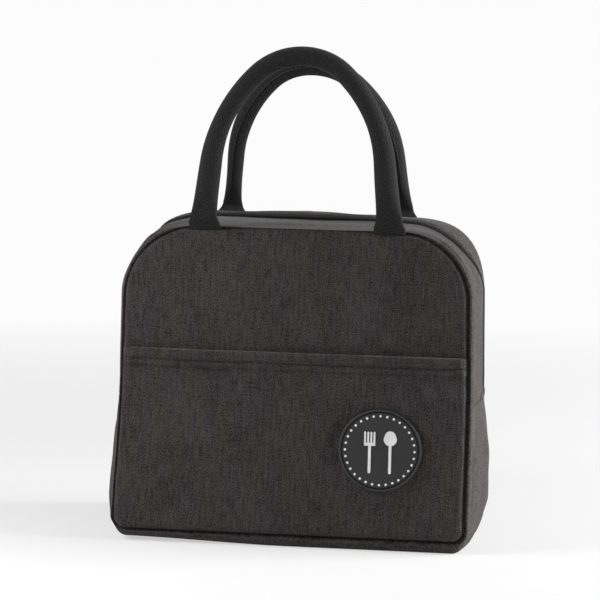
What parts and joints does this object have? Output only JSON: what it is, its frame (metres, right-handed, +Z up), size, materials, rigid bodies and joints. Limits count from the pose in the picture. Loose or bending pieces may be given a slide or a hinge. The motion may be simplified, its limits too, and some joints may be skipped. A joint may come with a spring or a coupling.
{
  "type": "insulated lunch bag",
  "caption": "Soft insulated lunch bag with a D-shaped front and back, a zip round the top, two roped webbing handles, a front pocket and a round rubber badge.",
  "frame": {"origin": "on the floor under the middle of the bag's flat base", "axes": "+Z up, front (pocket and badge) towards -Y, +X to the right as seen from the front"},
  "size_m": [0.2477, 0.1467, 0.3238],
  "materials": {
    "outer_fabric": "heather plain weave",
    "foam": "closed-cell foam sheet",
    "lining": "satin foil",
    "binding": "ribbed tape",
    "webbing": "herringbone webbing",
    "rope": "twisted cotton",
    "zip_tape": "fine twill tape",
    "zip_teeth": "satin nylon coil",
    "slider_metal": "black nickel",
    "badge_rubber": "moulded satin",
    "badge_print": "matte"
  },
  "bodies": {
    "bag_body": {"front_panel_lower": "outer_fabric", "front_foam_lower": "foam", "front_lining_lower": "lining", "pocket_lower": "outer_fabric", "badge": "badge_rubber", "badge_print": "badge_print", "back_panel_lower": "outer_fabric", "back_foam_lower": "foam", "back_lining_lower": "lining", "lower_gusset": "outer_fabric", "lower_gusset_foam": "foam", "lower_gusset_lining": "lining", "front_binding_lower": "binding", "back_binding_lower": "binding", "side_bindings": "binding", "zip_stops": "slider_metal"},
    "front_mouth": {"front_panel_upper": "outer_fabric", "front_foam_upper": "foam", "front_lining_upper": "lining", "pocket_upper": "outer_fabric", "front_gusset": "outer_fabric", "front_gusset_foam": "foam", "front_gusset_lining": "lining", "front_binding_upper": "binding", "front_zip_tape": "zip_tape", "front_zip_teeth": "zip_teeth", "front_handle_tails": "webbing"},
    "back_mouth": {"back_panel_upper": "outer_fabric", "back_foam_upper": "foam", "back_lining_upper": "lining", "back_gusset": "outer_fabric", "back_gusset_foam": "foam", "back_gusset_lining": "lining", "back_binding_upper": "binding", "back_zip_tape": "zip_tape", "back_zip_teeth": "zip_teeth", "back_handle_tails": "webbing"},
    "front_grip": {"front_handle": "webbing", "front_handle_rope": "rope"},
    "back_grip": {"back_handle": "webbing", "back_handle_rope": "rope"},
    "slider": {"zip_slider": "slider_metal"},
    "pull": {"zip_pull": "slider_metal"}
  },
  "joints": [
    {"name": "front_mouth_fold", "type": "hinge", "parent": "bag_body", "child": "front_mouth", "pos_m": [0, -0.0664, 0.097], "axis": [1, 0, 0], "range_deg": [0, 25]},
    {"name": "back_mouth_fold", "type": "hinge", "parent": "bag_body", "child": "back_mouth", "pos_m": [0, 0.0652, 0.097], "axis": [-1, 0, 0], "range_deg": [0, 25]},
    {"name": "front_handle_fold", "type": "hinge", "parent": "front_mouth", "child": "front_grip", "pos_m": [0, -0.0692, 0.2145], "axis": [1, 0, 0], "range_deg": [-37, 165]},
    {"name": "back_handle_fold", "type": "hinge", "parent": "back_mouth", "child": "back_grip", "pos_m": [0, 0.0692, 0.2145], "axis": [-1, 0, 0], "range_deg": [-15, 187]},
    {"name": "zip_slide", "type": "slide", "parent": "bag_body", "child": "slider", "axis": [0, 0, 1], "range_m": [0, 0.05], "deforming": ["front_zip_teeth", "back_zip_teeth"]},
    {"name": "pull_swing", "type": "hinge", "parent": "slider", "child": "pull", "pos_m": [-0.1242, 0, 0.1055], "axis": [0, 1, 0], "range_deg": [0, 165]}
  ]
}
